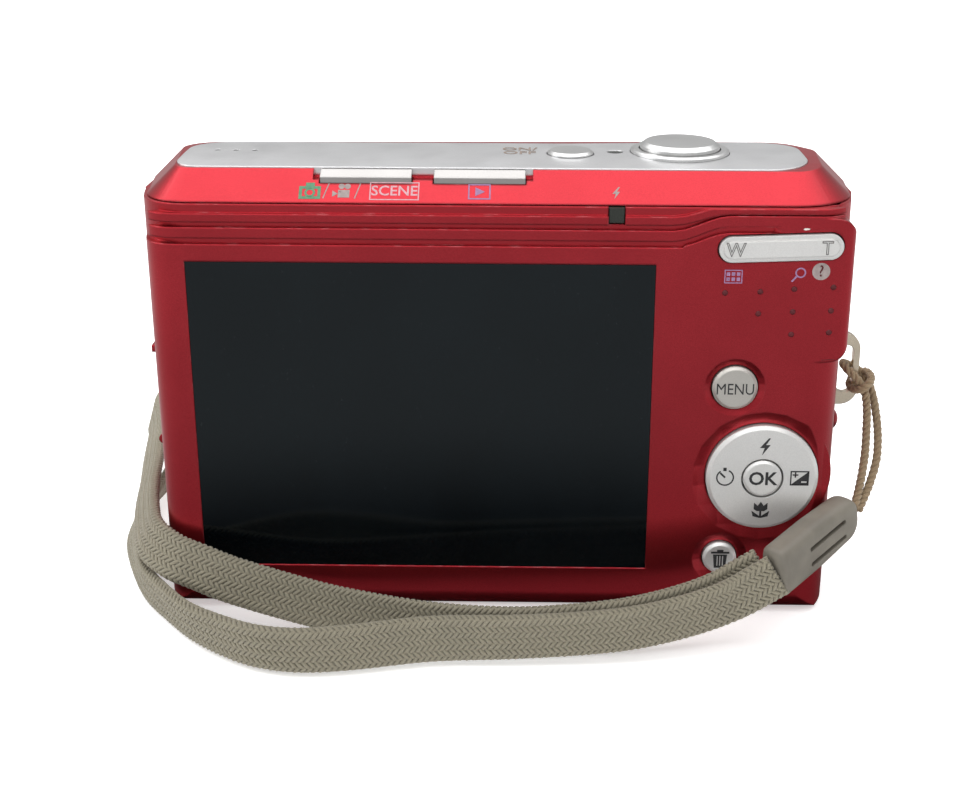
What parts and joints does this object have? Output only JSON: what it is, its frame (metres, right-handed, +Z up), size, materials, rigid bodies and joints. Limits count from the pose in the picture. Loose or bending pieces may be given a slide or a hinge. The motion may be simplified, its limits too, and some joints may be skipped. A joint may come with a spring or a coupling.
{
  "type": "compact digital camera",
  "caption": "Compact digital camera with rear screen, zoom rocker, selector disc, silver top plate, telescoping lens with cover blades, hinged battery door and a braided wrist strap.",
  "frame": {"origin": "on the flat base, under the middle of the body between its two ends and its front and rear faces", "axes": "+X to the viewer's right, +Y forward out of the lens, +Z up"},
  "size_m": [0.1215, 0.0978, 0.0658],
  "materials": {
    "red_metal": "satin",
    "silver_plate": "satin",
    "silver_keys": "satin",
    "steel": "brushed",
    "screen_black": "gloss",
    "screen_cell": "satin",
    "blade_black": "satin",
    "black_plastic": "matte",
    "dark_metal": "satin",
    "board_green": "satin",
    "brass": "satin",
    "eyelet_metal": "satin",
    "lens_glass": "polished",
    "clear_plastic": "polished",
    "amber_plastic": "polished",
    "lamp_dark": "gloss",
    "cell_wrap": "gloss",
    "card_blue": "satin",
    "web_khaki": "woven",
    "cord_tan": "twisted",
    "end_grey": "matte"
  },
  "bodies": {
    "camera": {"front_cover": "red_metal", "rear_cover": "red_metal", "top_cover": "red_metal", "top_plate": "silver_plate", "chassis": "steel", "battery_holder": "black_plastic", "cell_inner": "cell_wrap", "cell_outer": "cell_wrap", "cell_contacts": "steel", "tripod_socket": "steel", "screen_window": "screen_black", "screen_panel": "screen_cell", "screen_tray": "steel", "main_board": "board_green", "key_board": "board_green", "top_key_board": "board_green", "shutter_collar": "silver_keys", "power_lamp": "lamp_dark", "ready_lamp": "lamp_dark", "lens_housing": "black_plastic", "lens_ring": "silver_plate", "zoom_motor": "steel", "sensor_board": "board_green", "flash_window": "clear_plastic", "flash_unit": "steel", "flash_capacitor": "black_plastic", "timer_lamp": "amber_plastic", "speaker": "black_plastic", "card_socket": "steel", "usb_socket": "steel", "strap_eyelet": "eyelet_metal", "screws": "steel", "strap_cord": "cord_tan", "strap_junction": "end_grey", "strap_webbing": "web_khaki"},
    "carriage": {"door_carriage": "red_metal"},
    "door": {"battery_door": "red_metal", "door_contact": "brass"},
    "rocker": {"zoom_rocker": "silver_keys"},
    "menu_key": {"menu_button": "silver_keys"},
    "gimbal": {"selector_gimbal": "black_plastic"},
    "selector": {"selector_disc": "silver_keys"},
    "ok_key": {"ok_button": "silver_keys"},
    "delete_key": {"delete_button": "silver_keys"},
    "mode_key": {"mode_button": "silver_keys"},
    "play_key": {"play_button": "silver_keys"},
    "power_key": {"power_button": "silver_keys"},
    "shutter_key": {"shutter_button": "silver_keys"},
    "outer_tube": {"outer_barrel": "dark_metal"},
    "inner_tube": {"inner_barrel": "dark_metal", "front_lens": "lens_glass", "rear_lens": "lens_glass"},
    "blade_upper": {"cover_blade_upper": "blade_black"},
    "blade_lower": {"cover_blade_lower": "blade_black"},
    "card": {"memory_card": "card_blue"},
    "port": {"port_cover": "red_metal"}
  },
  "joints": [
    {"name": "door_slide", "type": "slide", "parent": "camera", "child": "carriage", "axis": [1, 0, 0], "range_m": [0, 0.0022]},
    {"name": "door_hinge", "type": "hinge", "parent": "carriage", "child": "door", "pos_m": [0.0449, 0.001, 0.0015], "axis": [0, -1, 0], "range_deg": [0, 78]},
    {"name": "zoom_tilt", "type": "hinge", "parent": "camera", "child": "rocker", "pos_m": [0.0378, -0.0119, 0.05475], "axis": [0, 0, 1], "range_deg": [-3.5, 3.5], "stiffness_Nm_per_rad": 0.03},
    {"name": "menu_press", "type": "slide", "parent": "camera", "child": "menu_key", "axis": [0, 1, 0], "range_m": [0, 0.00035], "stiffness_N_per_m": 900},
    {"name": "selector_tilt_vertical", "type": "hinge", "parent": "camera", "child": "gimbal", "pos_m": [0.0372, -0.01215, 0.0215], "axis": [1, 0, 0], "range_deg": [-2, 2], "stiffness_Nm_per_rad": 0.03},
    {"name": "selector_tilt_sideways", "type": "hinge", "parent": "gimbal", "child": "selector", "pos_m": [0.0372, -0.01215, 0.0215], "axis": [0, 0, 1], "range_deg": [-2, 2], "stiffness_Nm_per_rad": 0.03},
    {"name": "ok_press", "type": "slide", "parent": "camera", "child": "ok_key", "axis": [0, 1, 0], "range_m": [0, 0.00035], "stiffness_N_per_m": 900},
    {"name": "delete_press", "type": "slide", "parent": "camera", "child": "delete_key", "axis": [0, 1, 0], "range_m": [0, 0.00035], "stiffness_N_per_m": 900},
    {"name": "mode_press", "type": "slide", "parent": "camera", "child": "mode_key", "axis": [0, 0, -1], "range_m": [0, 0.0004], "stiffness_N_per_m": 900},
    {"name": "play_press", "type": "slide", "parent": "camera", "child": "play_key", "axis": [0, 0, -1], "range_m": [0, 0.0004], "stiffness_N_per_m": 900},
    {"name": "power_press", "type": "slide", "parent": "camera", "child": "power_key", "axis": [0, 0, -1], "range_m": [0, 0.0003], "stiffness_N_per_m": 900},
    {"name": "shutter_press", "type": "slide", "parent": "camera", "child": "shutter_key", "axis": [0, 0, -1], "range_m": [0, 0.0008], "stiffness_N_per_m": 700},
    {"name": "lens_extend", "type": "slide", "parent": "camera", "child": "outer_tube", "axis": [0, 1, 0], "range_m": [0, 0.009]},
    {"name": "lens_extend_inner", "type": "slide", "parent": "outer_tube", "child": "inner_tube", "axis": [0, 1, 0], "range_m": [0, 0.009]},
    {"name": "blade_upper_swing", "type": "hinge", "parent": "inner_tube", "child": "blade_upper", "pos_m": [-0.0042, 0.0108, 0.0325], "axis": [0, 1, 0], "range_deg": [0, 38]},
    {"name": "blade_lower_swing", "type": "hinge", "parent": "inner_tube", "child": "blade_lower", "pos_m": [-0.0218, 0.0108, 0.0295], "axis": [0, 1, 0], "range_deg": [0, 38]},
    {"name": "card_push", "type": "slide", "parent": "camera", "child": "card", "axis": [0, 0, 1], "range_m": [0, 0.0008], "stiffness_N_per_m": 300},
    {"name": "port_open", "type": "hinge", "parent": "camera", "child": "port", "pos_m": [-0.048, -0.006, 0.0235], "axis": [0, -1, 0], "range_deg": [0, 100]}
  ],
  "couplings": [
    {"joint": "lens_extend_inner", "follows": "lens_extend", "ratio": 1},
    {"joint": "blade_lower_swing", "follows": "blade_upper_swing", "ratio": 1}
  ]
}
